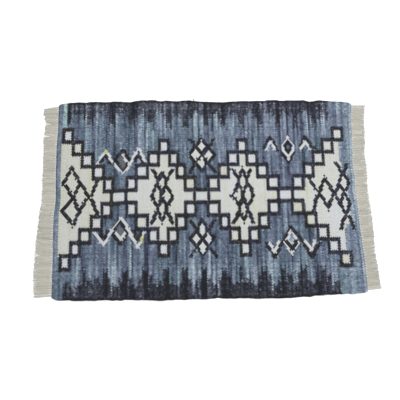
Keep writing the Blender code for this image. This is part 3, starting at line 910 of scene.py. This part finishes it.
RIGHT_FRINGE = [Hang(*row) for row in (
    (-434, 62, 5), (-380, 59, 3), (-333, 57, 4), (-274, 52, 6), (-230, 57, 6), (-156, 61, 3),
    (-8, 60, 0), (60, 60, -1), (140, 64, 4), (199, 59, 2), (278, 62, 1), (366, 63, 0), (438, 65, 0),
)]
Parting = namedtuple("Parting", "along wide")
LEFT_PARTINGS = [Parting(343, 8), Parting(284, 5), Parting(-64, 3), Parting(-258, 5)]
RIGHT_PARTINGS = [Parting(196, 3), Parting(-120, 3)]
COTTON = (214, 212, 200)
KNOT_COTTON = (222, 220, 212)


def light_of(colour):
    return [linear(level / 255) for level in colour]


def bunch_lean(y, hangs, partings):
    lean = read_along(hangs, y, "lean")
    for parting in partings:
        away = y - parting.along * MM
        lean = lean + np.sign(away) * parting.wide * MM / 2 * np.exp(-abs(away) / PARTING_REACH)
    return lean


def knot(centre, room):
    """A bunch's overhand knot: a fat ring of cotton round the bunch."""
    around = np.linspace(0, 2 * np.pi, KNOT_SIDES + 1)[:-1]
    girth = np.linspace(0, 2 * np.pi, KNOT_ROLL_SIDES + 1)[:-1]
    turn, roll = np.meshgrid(around, girth, indexing="ij")
    half_y, half_z, fat = room * 0.30, KNOT_HIGH * 0.20, KNOT_HIGH * 0.30
    y = np.cos(turn) * (half_y + fat * np.cos(roll))
    z = np.sin(turn) * (half_z + fat * np.cos(roll))
    x = KNOT_LONG * 0.42 * np.sin(roll) + KNOT_SLANT * np.sin(turn)
    points = np.stack([x, y, z], axis=-1).reshape(-1, 3) + centre
    ring = np.arange(turn.size).reshape(turn.shape)
    right, up = np.roll(ring, -1, axis=0), np.roll(ring, -1, axis=1)
    both = np.roll(right, -1, axis=1)
    a, b, c, d = ring.ravel(), right.ravel(), both.ravel(), up.ravel()
    return points, np.concatenate([np.stack([a, b, c], axis=-1), np.stack([a, c, d], axis=-1)])


def fringe(name, side, end_pick, hangs, partings, node, fade, cotton):
    """One end's knots and yarns, in one mesh."""
    draw = np.random.default_rng(31 + side)
    warp_at = (np.arange(BUNCHES) + 0.5) / BUNCHES * WARPS
    roots = laid(np.full(BUNCHES, float(end_pick)), warp_at, np.zeros(BUNCHES))
    roots[:, 2] = 0
    plain_y = roots[:, 1] - MIDDLE_OF_RUG[1]
    leans = bunch_lean(plain_y, hangs, partings) + LEAN_SPREAD * draw.normal(size=BUNCHES)
    lengths = read_along(hangs, plain_y, "long")
    shares = np.linspace(0, 1, YARN_STEPS)
    drift = shares**LEAN_GROWTH
    middles = roots[:, 1][:, None] + leans[:, None] * drift
    gaps = np.diff(middles, axis=0)
    rooms = np.minimum(np.vstack([gaps[:1], gaps]), np.vstack([gaps, gaps[-1:]]))
    rooms = np.minimum(rooms, WIDEST_BUNCH * np.median(gaps))
    parts, faces, tints, count = [], [], [], 0

    def join(points, triangles, colour):
        nonlocal count
        parts.append(points)
        faces.append(triangles + count)
        tints.append(np.repeat([colour], len(triangles), axis=0))
        count += len(points)

    for k in range(BUNCHES):
        centre = roots[k] + (side * (PARTING_GAP + KNOT_LONG / 2), 0.0, KNOT_HIGH / 2)
        bunch_tone = fade * (1 + 0.05 * draw.normal())
        join(*knot(centre, rooms[k][0]), np.array(light_of(KNOT_COTTON)) * bunch_tone)
        for strand in range(YARNS_IN_A_BUNCH):
            slot = (strand + 0.5) / YARNS_IN_A_BUNCH * 2 - 1
            spread = ROOT_SPREAD + (TIP_SPREAD - ROOT_SPREAD) * eased(shares / SPREAD_REACH)
            phase, sway = draw.random() * FULL_TURN, SWAY * (0.5 + draw.random())
            long = lengths[k] - KNOT_LONG + LENGTH_SPREAD * draw.normal() - 0.001
            y = middles[k] + slot * spread * rooms[k] + sway * np.sin(phase + shares * SWAY_BENDS) * shares
            y = y + LEAN_SPREAD * draw.normal() * shares
            x = roots[k][0] + side * (PARTING_GAP + KNOT_LONG * 0.5 + shares * (long + KNOT_LONG * 0.5))
            layer = 0.5 * YARN_THICK * (strand % 2) + 0.0003 * draw.random()
            z = YARN_THICK / 2 + layer * (1 - 0.6 * shares) + 0.0006 * (1 - eased(shares / 0.12))
            thick = YARN_THICK * (1 + 0.10 * draw.normal()) * (1 - 0.25 * shares**3) * np.ones(YARN_STEPS)
            tone = bunch_tone * (1 + 0.06 * draw.normal())
            path = np.stack([x, y, z], axis=-1)
            points, triangles = tube(path, thick, YARN_SIDES, draw.random() * FULL_TURN)
            join(points, triangles, np.array(light_of(COTTON)) * tone)
    points, triangles, colours = np.concatenate(parts), np.concatenate(faces), np.concatenate(tints)
    points[:, 2] = np.maximum(points[:, 2], 0.0001)
    made = coloured_piece(name, points, triangles, "cotton", colours, cotton)
    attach(made, "root")
    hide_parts(node)
    return made


cotton = matt_cotton("fringe_cotton", "cotton", (0.9, 0.15, 0.15, 0.5), YARN_GRAINS, 0.0003)
left_yarns = fringe("left_yarns", LEFT, 0, LEFT_FRINGE, LEFT_PARTINGS, "left_fringe", 0.95, cotton)
right_yarns = fringe("right_yarns", RIGHT, PICKS, RIGHT_FRINGE, RIGHT_PARTINGS, "right_fringe", 0.90, cotton)

# The floor, the light and the camera. The rug lies on a white studio floor under a broad soft light, seen
# from above and a little from its near side.
FLOOR_SIZE = 14.0
FLOOR_TOP = -0.0004
floor_mesh = bpy.data.meshes.new("floor")
half_floor = FLOOR_SIZE / 2
floor_mesh.from_pydata(
    [(-half_floor, -half_floor, FLOOR_TOP), (half_floor, -half_floor, FLOOR_TOP),
     (half_floor, half_floor, FLOOR_TOP), (-half_floor, half_floor, FLOOR_TOP)],
    [], [(0, 1, 2, 3)],
)
floor = bpy.data.objects.new("floor", floor_mesh)
bpy.context.scene.collection.objects.link(floor)
pale = bpy.data.materials.new("pale_floor")
pale.use_nodes = True
pale.node_tree.nodes["Principled BSDF"].inputs["Base Color"].default_value = (0.93, 0.93, 0.93, 1)
pale.node_tree.nodes["Principled BSDF"].inputs["Roughness"].default_value = 0.95
floor_mesh.materials.append(pale)
floor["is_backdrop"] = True

studio = bpy.data.worlds.new("studio")
bpy.context.scene.world = studio
studio.use_nodes = True
studio.node_tree.nodes["Background"].inputs["Color"].default_value = (1, 1, 1, 1)
studio.node_tree.nodes["Background"].inputs["Strength"].default_value = 0.92
softbox_data = bpy.data.lights.new("softbox", "AREA")
softbox_data.shape = "RECTANGLE"
softbox_data.size, softbox_data.size_y = 2.2, 1.4
softbox_data.energy = 42
softbox = bpy.data.objects.new("softbox", softbox_data)
softbox.location = (0.55, 0.55, 2.4)
softbox.rotation_euler = (math.radians(-12), math.radians(12), 0)
bpy.context.scene.collection.objects.link(softbox)

lens = bpy.data.cameras.new("camera")
lens.sensor_width = 36.0
lens.lens = 56.594
lens.clip_start = 0.05
camera = bpy.data.objects.new("camera", lens)
camera.location = (-0.175943, -0.654905, 2.745156)
camera.rotation_euler = [math.radians(angle) for angle in (13.14750, -2.72603, -1.20817)]
bpy.context.scene.collection.objects.link(camera)
bpy.context.scene.camera = camera
bpy.context.scene.view_settings.view_transform = "Standard"

low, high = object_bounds()
